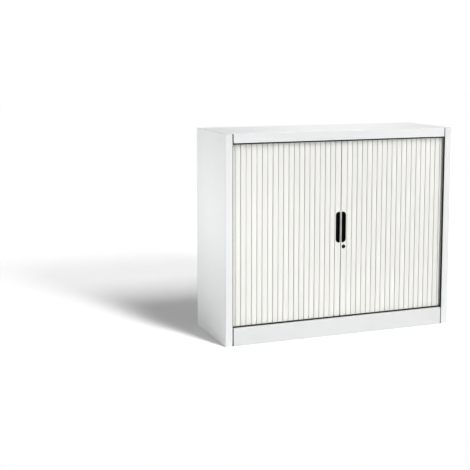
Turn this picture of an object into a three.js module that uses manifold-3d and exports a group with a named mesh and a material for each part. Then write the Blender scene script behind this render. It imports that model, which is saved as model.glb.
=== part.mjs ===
// Tambour door cabinet: a steel cabinet closed by two slatted curtains that slide sideways
// and disappear behind the posts. Millimetres, +Z up. X runs from left to right, Y from the
// front to the back. The origin is on the floor, under the middle of the cabinet.

import * as THREE from 'three';
import { mergeVertices } from 'three/addons/utils/BufferGeometryUtils.js';
import Module from 'manifold-3d';

const wasm = await Module();
wasm.setup();

// Cabinet
const width = 1200;
const depth = 420;
const height = 1000;
const sheet = 1; // steel sheet
const bend = 2; // bend radius at the middle of the sheet
const fit = 0.3; // gap between pieces that rest on or against each other
const overrun = 5; // how far a cutting tool runs past the face that it cuts
const bendSteps = 3; // straight steps in each bend
const cornerSteps = 1; // half the straight steps in a small round corner
const gripSteps = 3; // half the straight steps in a round corner of a grip
const discSteps = 10; // half the straight sides of a round hole or stud
const turnedSides = 24; // straight sides of a turned piece

// Frame round the doors
const postWidth = 35;
const fasciaHeight = 45;
const plinthHeight = 85;
const frontFold = 14; // how far posts, fascia and plinth fold back
const frontJoint = 2.5; // open joint between a post and the fascia or the plinth
const foldLip = 8; // lip at the end of the fascia's and plinth's folds
const rearFlange = 20; // flange of a side wall along the back edge
const rearDrop = 20; // how far the top panel folds down at the back
const panelFlange = 25; // stiffening folds of floor and ceiling
const stripThickness = 1.5; // black edge strip on the inner side of a post
const stripInset = 1; // from the front face to the strip

// Curtains
const doorRecess = 17; // from the front face to the face of the slats
const slatPitch = 27; // wished for: the true one fills the opening with whole panels
const slatsPerPanel = 2;
const curtainLap = 9.25; // how far the closed curtain reaches behind a post
const slatThickness = 6;
const slatEdgeDrop = 2.2; // how far a slat's rounded edge lies behind its face
const slatCrown = 0.5; // how much of that drop is the gentle crown of the face
const slatShoulderPower = 10; // how tight the shoulders of a slat are
const slatFaceSteps = 10;
const hingeGroove = 1.6; // depth of the groove behind the web between two slats
const hingeGrooveWidth = 2.4;
const slatPlay = 2; // room above the slats
const stackGap = 0.5; // room between two stored panels
const storeGap = 0.6; // room between the stored panels and the rim of their tray
const storeInnerGap = 1.5; // room between the stored panels and the inner wall

// Tracks
const trackWall = 1.6;
const trackWeb = 2;
const trackHeight = 9;
const trackPlay = 1; // room in front of and behind the slats

// Leading stiles with their grips
const meetingGap = 0.5;
const stileWidth = 31;
const stileDepth = 22;
const stileWall = 1.6;
const stileRadius = 2;
const capPlate = 2;
const capPlug = 12;
const capGap = 1; // from the track to the cap
const tongueInset = 3; // from the side of the stile to its tongue
const gripCentreHeight = 530;
const gripWidth = 21.4;
const gripHeight = 150;
const gripDepth = 15;
const gripInnerRadius = 4.5;
const gripRim = 1.6; // how far the rim laps over the stile
const gripRimThickness = 1.2;
const gripWall = 1.4;

// Lock
const lockDrop = 21; // from the grip's lower end down to the lock's axis
const rosetteRadius = 9;
const rosetteThickness = 2;
const rosetteChamfer = 0.6;
const housingRadius = 6.5;
const plugRadius = 4;
const plugEndRadius = 3;
const turningGap = 0.3; // round the plug and the cam's hole
const keywayWidth = 1.4;
const keywayHeight = 5.6;
const keywayDepth = 4;
const lockNutThickness = 3;
const lockNutFlats = 17;
const camThickness = 2.5;
const camHalfWidth = 6;
const camLength = 32;
const camNutThickness = 2.5;
const camNutFlats = 10;
const studReach = 24; // from the lock's axis to the strike stud, sideways
const studDrop = 3; // from the lock's axis to the strike stud, downwards
const studRadius = 2.5;
const studLength = 6.5; // past the face of the strike plate
const studPlay = 1; // room in the cam's notch
const strikeThickness = 1.5;
const strikeWidth = 20;
const strikeHeight = 40;
const hexagonSides = 6;

// Inner walls and shelves
const innerFold = 12;
const slotPitch = 25;
const slotStart = 50; // from the floor panel to the middle of the lowest slot
const slotWidth = 4;
const slotHeight = 14;
const slotInset = 30; // from an edge of the inner wall to its row of slots
const shelfShares = [0.4, 0.8]; // heights of the shelves' slots in the clear height
const shelfFront = 65; // from the cabinet's front face to the shelf
const shelfBack = 10; // from the cabinet's back to the shelf
const shelfFlange = 25;
const shelfReturn = 15;
const shelfSideGap = 1;
const railSheet = 1.5;
const railWidth = 14;
const railHeight = 24;
const railInset = 14; // from an edge of the inner wall to the end of the rail
const railRise = 13.7; // from the middle of a slot to the top of the rail
const hookSideGap = 0.4;
const hookEndGap = 1;
const hookDrop = 6;

// Levelling feet
const footInsetX = 75; // from the side of the cabinet to the spindle
const footInsetY = 45; // from the front or back to the spindle
const padRadius = 15;
const padHeight = 8;
const padChamfer = 2;
const spindleRadius = 5;
const spindleTopGap = 4; // from the floor panel's underside to the spindle's end
const bushRadius = 8;
const bushLength = 20;
const spindleGap = 0.3;

// Worked out from the values above
const halfSheet = sheet / 2;
const frontFace = -depth / 2;
const backFace = depth / 2;
const sideHeight = height - sheet - fit;
const frameHalf = width / 2 - postWidth - frontJoint; // half the fascia's and plinth's length
const insideHalf = width / 2 - sheet - fit; // what fits between the side walls
const floorTop = plinthHeight;
const ceilingUnder = height - fasciaHeight;
const middleHeight = (floorTop + ceilingUnder) / 2;
const foldEnd = frontFace + frontFold;
const backPanelBack = backFace - sheet - fit;
const backPanelFront = backPanelBack - sheet;

const slatFront = frontFace + doorRecess;
const slatBack = slatFront + slatThickness;
const stileInner = meetingGap / 2;
const stileOuter = stileInner + stileWidth;
const stileCentre = (stileInner + stileOuter) / 2;
const stileBack = slatFront + stileDepth;
const curtainWidth = width / 2 - postWidth + curtainLap - stileOuter;
const panelsPerDoor = Math.round(curtainWidth / (slatsPerPanel * slatPitch));
const panelPitch = curtainWidth / panelsPerDoor;
const panelWidth = panelPitch - fit;

const trackFront = slatFront - trackPlay - trackWall;
const trackBack = slatBack + trackPlay + trackWall;
const trackBase = floorTop + fit;
const trackTop = trackBase + trackHeight;
const slatBottom = trackBase + trackWeb + fit;
const slatTop = ceilingUnder - fit - trackWeb - slatPlay;

const storedOuter = insideHalf - trackWall - storeGap;
const innerWallOuter = storedOuter - panelWidth - storeInnerGap;
const innerHalf = innerWallOuter - sheet; // half the clear width between the inner walls
const storedDepth = (panelsPerDoor - 1) * (slatThickness + stackGap);
const trayBack = slatBack + storedDepth + storeGap + trackWall;
const innerWallFront = trayBack + fit;
const innerWallBack = backPanelFront - fit;

const lockCentre = stileCentre;
const lockHeight = gripCentreHeight - gripHeight / 2 - lockDrop;
const strikeCentre = stileCentre;
const camFront = stileBack + fit + lockNutThickness + fit + fit;
const camBack = camFront + camThickness;
const shelfTops = shelfShares
  .map((share) => Math.round((share * (ceilingUnder - floorTop) - slotStart) / slotPitch))
  .map((slot) => slotLevel(slot) + railRise + fit + sheet);

// Materials
const whiteSteel = { color: 0xe9ebeb, roughness: 0.45, metalness: 0.05 };
const whiteSlat = { color: 0xf4f4ef, roughness: 0.5, metalness: 0 };
const blackPlastic = { color: 0x121413, roughness: 0.55, metalness: 0 };
const galvanised = { color: 0xb4b8bb, roughness: 0.4, metalness: 0.9 };
const blackMetal = { color: 0x1c1d1f, roughness: 0.35, metalness: 0.6 };

// Middle of a slot of the inner walls, counted from the lowest one
function slotLevel(index) {
  return floorTop + slotStart + index * slotPitch;
}

// Box between two corners, which may be given in either order
function block(x0, x1, y0, y1, z0, z1) {
  const box = new THREE.BoxGeometry(Math.abs(x1 - x0), Math.abs(y1 - y0), Math.abs(z1 - z0));
  return box.translate((x0 + x1) / 2, (y0 + y1) / 2, (z0 + z1) / 2);
}

function extruded(shape, length) {
  return new THREE.ExtrudeGeometry(shape, { depth: length, bevelEnabled: false, curveSegments: discSteps });
}

// A shape drawn in X and Y, run from z0 up to z1
function alongZ(shape, z0, z1) {
  return extruded(shape, z1 - z0).translate(0, 0, z0);
}

// A shape drawn in Y and Z, run from x0 to x1
function alongX(shape, x0, x1) {
  const turn = new THREE.Matrix4().makeBasis(
    new THREE.Vector3(0, 1, 0),
    new THREE.Vector3(0, 0, 1),
    new THREE.Vector3(1, 0, 0),
  );
  return extruded(shape, x1 - x0).applyMatrix4(turn).translate(x0, 0, 0);
}

// A shape drawn in X and Z, run from y0 back to y1
function alongY(shape, y0, y1) {
  return extruded(shape, y1 - y0).rotateX(Math.PI / 2).translate(0, y1, 0);
}

// A profile of radius and length, turned about an axis that runs along Y
function turnedAboutY(points) {
  return new THREE.LatheGeometry(points.map(([radius, y]) => new THREE.Vector2(radius, y)), turnedSides);
}

function turnedAboutZ(points) {
  return turnedAboutY(points).rotateX(Math.PI / 2);
}

function solid(geometry) {
  const bare = geometry.clone();
  bare.deleteAttribute('normal');
  bare.deleteAttribute('uv');
  const merged = mergeVertices(bare);
  return new wasm.Manifold(new wasm.Mesh({
    numProp: 3,
    vertProperties: new Float32Array(merged.attributes.position.array),
    triVerts: new Uint32Array(merged.index.array),
  }));
}

function joined(...geometries) {
  return geometries.map(solid).reduce((whole, next) => whole.add(next));
}

function surface(body) {
  const mesh = body.getMesh();
  const geometry = new THREE.BufferGeometry();
  geometry.setAttribute('position', new THREE.BufferAttribute(new Float32Array(mesh.vertProperties), 3));
  geometry.setIndex(new THREE.BufferAttribute(new Uint32Array(mesh.triVerts), 1));
  geometry.computeVertexNormals();
  return geometry;
}

// Outline of a sheet that is folded along a line through its middle, with rounded bends
function folded(line, thickness = sheet) {
  const points = line.map(([x, y]) => new THREE.Vector2(x, y));
  const half = thickness / 2;
  const heading = (i) => points[i + 1].clone().sub(points[i]).normalize();
  const leftOf = (v) => new THREE.Vector2(-v.y, v.x);
  const left = [];
  const right = [];
  const addPair = (point, normal) => {
    left.push(point.clone().addScaledVector(normal, half));
    right.push(point.clone().addScaledVector(normal, -half));
  };
  addPair(points[0], leftOf(heading(0)));
  for (let i = 1; i < points.length - 1; i += 1) {
    const before = heading(i - 1);
    const after = heading(i);
    const turn = Math.atan2(before.cross(after), before.dot(after));
    const way = Math.sign(turn);
    const start = points[i].clone().addScaledVector(before, -bend * Math.tan(Math.abs(turn) / 2));
    const centre = start.clone().addScaledVector(leftOf(before), way * bend);
    for (let step = 0; step <= bendSteps; step += 1) {
      const spoke = leftOf(before).multiplyScalar(-way);
      spoke.rotateAround(new THREE.Vector2(), (turn * step) / bendSteps);
      left.push(centre.clone().addScaledVector(spoke, bend - way * half));
      right.push(centre.clone().addScaledVector(spoke, bend + way * half));
    }
  }
  addPair(points[points.length - 1], leftOf(heading(points.length - 2)));
  return new THREE.Shape([...left, ...right.reverse()]);
}

function disc(radius, x = 0, y = 0) {
  return new THREE.Shape().absarc(x, y, radius, 0, Math.PI * 2, false);
}

// Rectangle with small round corners
function rectangle(x0, x1, y0, y1, radius) {
  const shape = new THREE.Shape();
  shape.absarc(x1 - radius, y1 - radius, radius, 0, Math.PI / 2, false);
  shape.absarc(x0 + radius, y1 - radius, radius, Math.PI / 2, Math.PI, false);
  shape.absarc(x0 + radius, y0 + radius, radius, Math.PI, Math.PI * 1.5, false);
  shape.absarc(x1 - radius, y0 + radius, radius, Math.PI * 1.5, Math.PI * 2, false);
  shape.closePath();
  return new THREE.Shape(shape.extractPoints(cornerSteps).shape);
}

const cabinet = new THREE.Group();

// Adds a named piece to a group at a place given in the group's frame
function piece(group, name, geometry, finish, place = [0, 0, 0]) {
  const mesh = new THREE.Mesh(geometry, new THREE.MeshStandardMaterial(finish));
  mesh.name = name;
  mesh.position.set(...place);
  group.add(mesh);
  return mesh;
}

// The left side has its X reversed
const sides = [['left', -1], ['right', 1]];

// Side wall folded from one sheet with its front post, rear flange and end flanges
function sideWall(side) {
  const outer = width / 2 - halfSheet;
  const inner = width / 2 - postWidth + halfSheet;
  const front = frontFace + halfSheet;
  const back = backFace - halfSheet;
  const section = folded([
    [side * inner, foldEnd],
    [side * inner, front],
    [side * outer, front],
    [side * outer, back],
    [side * (width / 2 - rearFlange), back],
  ]);
  const endFlange = (z) => block(side * inner, side * outer, front, back, z, z + sheet);
  return surface(joined(alongZ(section, 0, sideHeight), endFlange(0), endFlange(sideHeight - sheet)));
}

function backPanel() {
  const half = width / 2 - sheet - bend;
  return block(-half, half, backPanelFront, backPanelBack, sheet + fit, sideHeight - sheet - fit);
}

// Top panel: the front folds down into the fascia, the back folds down a little, and a strip at
// each end runs over the post and the side wall
function topPanel() {
  const lip = foldEnd - halfSheet;
  const front = frontFace + halfSheet;
  const back = backFace - halfSheet;
  const low = ceilingUnder + halfSheet;
  const high = height - halfSheet;
  const section = folded([
    [lip, ceilingUnder + foldLip],
    [lip, low],
    [front, low],
    [front, high],
    [back, high],
    [back, height - rearDrop],
  ]);
  const endStrip = (side) => block(
    side * frameHalf, side * width / 2, frontFace, backFace, height - sheet, height,
  );
  return surface(joined(alongX(section, -frameHalf, frameHalf), endStrip(-1), endStrip(1)));
}

// Floor or ceiling of the inside, with its stiffening folds turned away from the inside
function innerPanelSection(level, foldWay) {
  const front = foldEnd + fit + halfSheet;
  const back = backPanelFront - fit - halfSheet;
  const middle = level + foldWay * halfSheet;
  const foldEdge = level + foldWay * panelFlange;
  return folded([[front, foldEdge], [front, middle], [back, middle], [back, foldEdge]]);
}

function ceilingPanel() {
  return alongX(innerPanelSection(ceilingUnder, 1), -insideHalf, insideHalf);
}

const footX = width / 2 - footInsetX;
const footY = depth / 2 - footInsetY;
const footPlaces = [
  ['front_left', -1, -1],
  ['front_right', 1, -1],
  ['back_left', -1, 1],
  ['back_right', 1, 1],
];

// Floor panel with a threaded bush for each levelling foot
function floorPanel() {
  let body = solid(alongX(innerPanelSection(floorTop, -1), -insideHalf, insideHalf));
  for (const [, sideX, sideY] of footPlaces) {
    const bush = disc(bushRadius, sideX * footX, sideY * footY);
    const bore = disc(spindleRadius + spindleGap, sideX * footX, sideY * footY);
    body = body.add(solid(alongZ(bush, floorTop - sheet - bushLength, floorTop - halfSheet)));
    body = body.subtract(solid(alongZ(bore, floorTop - sheet - bushLength - overrun, floorTop + overrun)));
  }
  return surface(body);
}

function plinthFront() {
  const lip = foldEnd - halfSheet;
  const front = frontFace + halfSheet;
  const high = plinthHeight - halfSheet;
  const section = folded([
    [lip, plinthHeight - foldLip],
    [lip, high],
    [front, high],
    [front, halfSheet],
    [lip, halfSheet],
    [lip, foldLip],
  ]);
  return alongX(section, -frameHalf, frameHalf);
}

const slotRows = [innerWallFront + slotInset, innerWallBack - slotInset];

// Inner side wall with two rows of slots for the shelf rails
function innerWall(side) {
  const middle = innerHalf + halfSheet;
  const front = innerWallFront + halfSheet;
  const back = innerWallBack - halfSheet;
  const section = folded([
    [side * (innerWallOuter + innerFold), front],
    [side * middle, front],
    [side * middle, back],
    [side * (innerWallOuter + innerFold), back],
  ]);
  let body = solid(alongZ(section, floorTop + fit, ceilingUnder - fit));
  for (let index = 0; slotLevel(index) <= ceilingUnder - slotStart; index += 1) {
    for (const row of slotRows) {
      const level = slotLevel(index);
      body = body.subtract(solid(block(
        side * (innerHalf - overrun), side * (innerWallOuter + overrun),
        row - slotWidth / 2, row + slotWidth / 2,
        level - slotHeight / 2, level + slotHeight / 2,
      )));
    }
  }
  return surface(body);
}

// Rail that carries one end of a shelf and hooks into a slot of each row.
// Its own frame has Z zero at the middle of the slots.
function shelfRail(side) {
  const outer = innerHalf - fit;
  const front = innerWallFront + railInset;
  const back = innerWallBack - railInset;
  const hookOuter = innerWallOuter + fit + railSheet;
  const hookTop = slotHeight / 2 - hookEndGap;
  const parts = [
    block(side * (outer - railWidth), side * outer, front, back, railRise - railSheet, railRise),
    block(side * (outer - railSheet), side * outer, front, back, railRise - railHeight, railRise),
  ];
  for (const row of slotRows) {
    const hookSide = slotWidth / 2 - hookSideGap;
    parts.push(block(
      side * (outer - railSheet), side * hookOuter,
      row - hookSide, row + hookSide,
      -hookTop, hookTop,
    ));
    parts.push(block(
      side * (hookOuter - railSheet), side * hookOuter,
      row - hookSide, row + hookSide,
      -hookTop - hookDrop, hookTop,
    ));
  }
  return surface(joined(...parts));
}

// Shelf, with Z zero at its top face
function shelf() {
  const half = innerHalf - shelfSideGap;
  const front = frontFace + shelfFront + halfSheet;
  const back = backFace - shelfBack - halfSheet;
  const low = halfSheet - shelfFlange;
  const section = folded([
    [front + shelfReturn, low], [front, low], [front, -halfSheet], [back, -halfSheet], [back, low],
  ]);
  return alongX(section, -half, half);
}

function postStrip(side) {
  const outer = width / 2 - postWidth - fit;
  return block(
    side * (outer - stripThickness), side * outer,
    frontFace + stripInset, trackFront - fit,
    floorTop + fit, ceilingUnder - fit,
  );
}

// Track of one curtain end: a groove along the front, and a tray in the side pocket where the
// curtain is stored. Its own frame has Z zero under the web.
function track(side) {
  const start = fit / 2;
  const strip = (x0, x1, y0, y1, top) => block(side * x0, side * x1, y0, y1, 0, top);
  return surface(joined(
    strip(start, insideHalf, trackFront, trackBack, trackWeb),
    strip(start, insideHalf, trackFront, trackFront + trackWall, trackHeight),
    strip(start, innerWallOuter, trackBack - trackWall, trackBack, trackHeight),
    strip(innerWallOuter, insideHalf, trackFront, trayBack, trackWeb),
    strip(insideHalf - trackWall, insideHalf, trackFront, trayBack, trackHeight),
    strip(innerWallOuter, insideHalf, trayBack - trackWall, trayBack, trackHeight),
  ));
}

// Y of a slat's face at a share of its half width, measured back from its highest line
function slatRelief(share) {
  const away = Math.abs(share);
  return slatCrown * away ** 2 + (slatEdgeDrop - slatCrown) * away ** slatShoulderPower;
}

// Panel of two slats joined by a thin web, with X zero at its middle and Y zero at its face
function slatPanel() {
  const slatWidth = panelWidth / slatsPerPanel;
  const points = [];
  for (let slat = 0; slat < slatsPerPanel; slat += 1) {
    const centre = (slat - (slatsPerPanel - 1) / 2) * slatWidth;
    for (let step = slat === 0 ? 0 : 1; step <= slatFaceSteps; step += 1) {
      const share = -Math.cos((Math.PI * step) / slatFaceSteps);
      points.push(new THREE.Vector2(centre + (share * slatWidth) / 2, slatRelief(share)));
    }
  }
  points.push(new THREE.Vector2(panelWidth / 2, slatThickness));
  for (let slat = slatsPerPanel - 1; slat > 0; slat -= 1) {
    const groove = (slat - slatsPerPanel / 2) * slatWidth;
    points.push(new THREE.Vector2(groove + hingeGrooveWidth / 2, slatThickness));
    points.push(new THREE.Vector2(groove, slatThickness - hingeGroove));
    points.push(new THREE.Vector2(groove - hingeGrooveWidth / 2, slatThickness));
  }
  points.push(new THREE.Vector2(-panelWidth / 2, slatThickness));
  return alongZ(new THREE.Shape(points), slatBottom, slatTop);
}

// Outline of a grip in X and Z: straight towards the meeting line, with large round corners on
// the far side that take up the rest of its width, drawn in by an inset
function gripOutline(side, inset) {
  const halfWidth = gripWidth / 2 - inset;
  const halfHeight = gripHeight / 2 - inset;
  const inner = gripInnerRadius - inset;
  const outer = 2 * halfWidth - inner;
  const shape = new THREE.Shape();
  shape.absarc(halfWidth - outer, halfHeight - outer, outer, 0, Math.PI / 2, false);
  shape.absarc(inner - halfWidth, halfHeight - inner, inner, Math.PI / 2, Math.PI, false);
  shape.absarc(inner - halfWidth, inner - halfHeight, inner, Math.PI, Math.PI * 1.5, false);
  shape.absarc(halfWidth - outer, outer - halfHeight, outer, Math.PI * 1.5, Math.PI * 2, false);
  shape.closePath();
  const { shape: points } = shape.extractPoints(gripSteps);
  return new THREE.Shape(points.map((point) => new THREE.Vector2(side * point.x, point.y)));
}

// Grip cup, with X zero at its middle, Y zero at the stile's face and Z zero at its middle
function grip(side) {
  const rimBack = -fit;
  const rimFront = rimBack - gripRimThickness;
  const cup = joined(
    alongY(gripOutline(side, 0), rimFront, rimBack),
    alongY(gripOutline(side, gripRim), rimFront, gripDepth),
  );
  const recess = alongY(gripOutline(side, gripRim + gripWall), rimFront - overrun, gripDepth - gripWall);
  return surface(cup.subtract(solid(recess)));
}

// Leading stile: a tube with X zero at its middle and Y zero at its face, cut for its grip.
// The right one has a bore for the lock.
function stile(side) {
  const half = stileWidth / 2;
  const section = rectangle(-half, half, 0, stileDepth, stileRadius);
  section.holes.push(rectangle(
    stileWall - half, half - stileWall, stileWall, stileDepth - stileWall, stileRadius - stileWall / 2,
  ));
  const end = trackTop + capGap + capPlate + fit;
  const length = alongZ(section, end, 2 * middleHeight - end);
  const gripHole = alongY(gripOutline(side, gripRim - fit), -overrun, stileWall + overrun)
    .translate(0, 0, gripCentreHeight);
  let body = solid(length).subtract(solid(gripHole));
  if (side > 0) {
    const bore = alongY(disc(housingRadius + fit), -overrun, stileDepth + overrun);
    body = body.subtract(solid(bore.translate(0, 0, lockHeight)));
  }
  return surface(body);
}

// Cap for the end of a stile, with the tongue that runs in the track. Z zero is at the tongue's
// end, X zero at the stile's middle and Y zero at its face.
function stileCap() {
  const half = stileWidth / 2;
  const plateBottom = trackTop + capGap - slatBottom;
  const plateTop = plateBottom + capPlate;
  const inset = stileWall + fit;
  const plug = rectangle(inset - half, half - inset, inset, stileDepth - inset, stileRadius);
  return surface(joined(
    block(tongueInset - half, half - tongueInset, 0, slatThickness, 0, plateTop),
    alongZ(rectangle(-half, half, 0, stileDepth, stileRadius), plateBottom, plateTop),
    alongZ(plug, plateBottom, plateTop + capPlug),
  ));
}

// Lock body with its rosette, with Y zero at the stile's face
function lockHousing() {
  const bore = plugRadius + turningGap;
  const rosetteBack = -fit;
  const rosetteFront = rosetteBack - rosetteThickness;
  const end = stileDepth + fit + lockNutThickness + fit;
  return turnedAboutY([
    [bore, rosetteFront],
    [rosetteRadius - rosetteChamfer, rosetteFront],
    [rosetteRadius, rosetteFront + rosetteChamfer],
    [rosetteRadius, rosetteBack],
    [housingRadius, rosetteBack],
    [housingRadius, end],
    [bore, end],
    [bore, rosetteFront],
  ]);
}

function nut(acrossFlats, holeRadius, thickness) {
  const corner = acrossFlats / 2 / Math.cos(Math.PI / hexagonSides);
  const points = [];
  for (let side = 0; side < hexagonSides; side += 1) {
    const angle = (2 * Math.PI * side) / hexagonSides;
    points.push(new THREE.Vector2(corner * Math.cos(angle), corner * Math.sin(angle)));
  }
  const shape = new THREE.Shape(points);
  shape.holes.push(disc(holeRadius));
  return alongY(shape, 0, thickness);
}

// Plug with its keyway, with Y zero at the rosette's face
function lockPlug() {
  const shoulder = camFront - fit - (slatFront - fit - rosetteThickness);
  const end = shoulder + fit + camThickness + fit + camNutThickness + fit;
  const body = solid(turnedAboutY([
    [0, 0],
    [plugRadius, 0],
    [plugRadius, shoulder],
    [plugEndRadius, shoulder],
    [plugEndRadius, end],
    [0, end],
  ]));
  const keyway = block(
    -keywayWidth / 2, keywayWidth / 2, -overrun, keywayDepth, -keywayHeight / 2, keywayHeight / 2,
  );
  return surface(body.subtract(solid(keyway)));
}

// Hooked cam, with its hole at zero. It points up when the lock is open and swings to the left;
// its notch then holds the strike stud.
function lockCam() {
  const notchHalf = studRadius + studPlay;
  const notchFloor = studRadius + studPlay / 2 - studDrop;
  const shape = new THREE.Shape();
  shape.moveTo(camHalfWidth, camLength);
  shape.lineTo(-camHalfWidth, camLength);
  shape.lineTo(-camHalfWidth, studReach + notchHalf);
  shape.lineTo(notchFloor, studReach + notchHalf);
  shape.lineTo(notchFloor, studReach - notchHalf);
  shape.lineTo(-camHalfWidth, studReach - notchHalf);
  shape.absarc(0, 0, camHalfWidth, Math.PI, Math.PI * 2, false);
  shape.closePath();
  shape.holes.push(disc(plugEndRadius + turningGap));
  return alongY(shape, 0, camThickness);
}

// Strike plate with its stud, with X and Z zero at the stud and Y zero at the plate's front
function strikePlate() {
  const plateCentre = lockCentre - studReach + strikeCentre;
  return surface(joined(
    block(
      -plateCentre - strikeWidth / 2, -plateCentre + strikeWidth / 2,
      0, strikeThickness,
      -strikeHeight / 2, strikeHeight / 2,
    ),
    alongY(disc(studRadius), strikeThickness / 2, strikeThickness + studLength),
  ));
}

function levellingFoot() {
  const top = floorTop - sheet - spindleTopGap;
  return turnedAboutZ([
    [0, 0],
    [padRadius - padChamfer, 0],
    [padRadius, padChamfer],
    [padRadius, padHeight - padChamfer],
    [padRadius - padChamfer, padHeight],
    [spindleRadius, padHeight],
    [spindleRadius, top],
    [0, top],
  ]);
}

// Carcass
const carcass = new THREE.Group();
cabinet.add(carcass);
piece(carcass, 'back_panel', backPanel(), whiteSteel);
piece(carcass, 'top_panel', topPanel(), whiteSteel);
piece(carcass, 'ceiling_panel', ceilingPanel(), whiteSteel);
piece(carcass, 'floor_panel', floorPanel(), whiteSteel);
piece(carcass, 'plinth_front', plinthFront(), whiteSteel);
for (const [name, side] of sides) {
  piece(carcass, `${name}_side_wall`, sideWall(side), whiteSteel);
  piece(carcass, `${name}_inner_wall`, innerWall(side), whiteSteel);
  piece(carcass, `${name}_post_strip`, postStrip(side), blackPlastic);
  piece(carcass, `lower_${name}_track`, track(side), blackPlastic, [0, 0, trackBase]);
  // Turned over about Y, a track fits the ceiling on the other side
  const upperTrack = piece(
    carcass, `upper_${name}_track`, track(-side), blackPlastic, [0, 0, ceilingUnder - fit],
  );
  upperTrack.rotation.y = Math.PI;
}
for (const [place, sideX, sideY] of footPlaces) {
  piece(carcass, `levelling_foot_${place}`, levellingFoot(), galvanised, [sideX * footX, sideY * footY, 0]);
}

// Shelves on their rails
const shelving = new THREE.Group();
cabinet.add(shelving);
for (const [index, level] of ['lower', 'upper'].entries()) {
  const top = shelfTops[index];
  piece(shelving, `${level}_shelf`, shelf(), whiteSteel, [0, 0, top]);
  for (const [name, side] of sides) {
    const slotMiddle = top - sheet - fit - railRise;
    piece(shelving, `${level}_shelf_rail_${name}`, shelfRail(side), galvanised, [0, 0, slotMiddle]);
  }
}

// Doors: each has a leading stile at the meeting line, followed by its panels of slats
for (const [name, side] of sides) {
  const door = new THREE.Group();
  door.position.set(0, slatFront, 0);
  cabinet.add(door);
  piece(door, `${name}_stile`, stile(side), whiteSlat, [side * stileCentre, 0, 0]);
  piece(door, `${name}_grip`, grip(side), blackPlastic, [side * stileCentre, 0, gripCentreHeight]);
  piece(door, `${name}_stile_lower_cap`, stileCap(), whiteSlat, [side * stileCentre, 0, slatBottom]);
  const upperCap = piece(
    door, `${name}_stile_upper_cap`, stileCap(), whiteSlat,
    [side * stileCentre, 0, 2 * middleHeight - slatBottom],
  );
  upperCap.rotation.y = Math.PI;
  for (let panel = 0; panel < panelsPerDoor; panel += 1) {
    const centre = stileOuter + fit + panelWidth / 2 + panel * panelPitch;
    const number = String(panel + 1).padStart(2, '0');
    piece(door, `${name}_slat_pair_${number}`, slatPanel(), whiteSlat, [side * centre, 0, 0]);
  }
}

// Lock in the right stile, strike on the back of the left one
const lock = new THREE.Group();
lock.position.set(lockCentre, 0, lockHeight);
cabinet.add(lock);
piece(lock, 'lock_housing', lockHousing(), blackMetal, [0, slatFront, 0]);
const lockNut = nut(lockNutFlats, housingRadius + fit, lockNutThickness);
piece(lock, 'lock_nut', lockNut, galvanised, [0, stileBack + fit, 0]);
piece(lock, 'lock_plug', lockPlug(), blackMetal, [0, slatFront - fit - rosetteThickness, 0]);
piece(lock, 'lock_cam', lockCam(), galvanised, [0, camFront, 0]);
const camNut = nut(camNutFlats, plugEndRadius + fit, camNutThickness);
piece(lock, 'lock_cam_nut', camNut, galvanised, [0, camBack + fit, 0]);
piece(lock, 'strike_plate', strikePlate(), galvanised, [-studReach, stileBack + fit, -studDrop]);

export default cabinet;
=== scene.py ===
"""Looks of a tambour door cabinet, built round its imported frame.

The cabinet is folded from white powder coated sheet. Two curtains of white plastic slats close
it, each drawn by a stile with a black recessed grip, and a small black lock joins the stiles.
Lengths are metres. X runs from left to right, Y from the front to the back and Z upwards.
"""

import logging
import math
from collections.abc import Sequence
from dataclasses import dataclass, field
from enum import Enum

import bmesh
import bpy
from bmesh.types import BMEdge, BMFace, BMVert
from mathutils import Matrix, Vector


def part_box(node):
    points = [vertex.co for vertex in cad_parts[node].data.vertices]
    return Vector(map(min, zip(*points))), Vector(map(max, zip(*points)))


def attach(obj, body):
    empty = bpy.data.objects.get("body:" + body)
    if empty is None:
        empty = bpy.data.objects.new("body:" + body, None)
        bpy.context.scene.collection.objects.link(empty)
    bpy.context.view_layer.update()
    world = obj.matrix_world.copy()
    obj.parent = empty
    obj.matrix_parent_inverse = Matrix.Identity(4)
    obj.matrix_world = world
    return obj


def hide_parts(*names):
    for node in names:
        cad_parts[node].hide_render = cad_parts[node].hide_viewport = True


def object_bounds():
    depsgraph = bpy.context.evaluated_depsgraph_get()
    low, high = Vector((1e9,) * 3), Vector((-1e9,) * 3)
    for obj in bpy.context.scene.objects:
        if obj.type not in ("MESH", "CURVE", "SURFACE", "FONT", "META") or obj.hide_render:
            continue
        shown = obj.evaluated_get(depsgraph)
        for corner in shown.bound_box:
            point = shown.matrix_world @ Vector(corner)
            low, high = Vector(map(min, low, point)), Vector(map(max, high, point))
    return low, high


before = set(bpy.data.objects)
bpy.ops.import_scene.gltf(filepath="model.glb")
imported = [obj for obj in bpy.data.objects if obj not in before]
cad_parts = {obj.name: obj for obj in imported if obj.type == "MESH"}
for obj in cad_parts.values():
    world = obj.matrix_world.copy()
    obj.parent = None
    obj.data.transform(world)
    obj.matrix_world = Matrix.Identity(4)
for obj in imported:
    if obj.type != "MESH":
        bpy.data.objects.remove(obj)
CAD_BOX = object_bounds()

LOG = logging.getLogger("cabinet")
MM = 0.001
# Points nearer than WELD are one point, and faces that bend less than FLAT_ANGLE are one face.
WELD = 0.01 * MM
FLAT_ANGLE = math.radians(0.5)
# Edges sharper than SMOOTH_ANGLE are rounded in SMOOTH_STEPS steps.
SMOOTH_ANGLE = math.radians(35)
SMOOTH_STEPS = 2
# Two directions are parallel where the cosine between them is above PARALLEL.
PARALLEL = 0.99
# The inputs and the output of the node that mixes two colours.
MIX_FIRST = 6
MIX_SECOND = 7
MIX_RESULT = 2

Colour = tuple[float, float, float]
Triple = tuple[float, float, float]
Point = tuple[float, float]
Span = tuple[float, float]

EVEN: Triple = (1.0, 1.0, 1.0)


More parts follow.
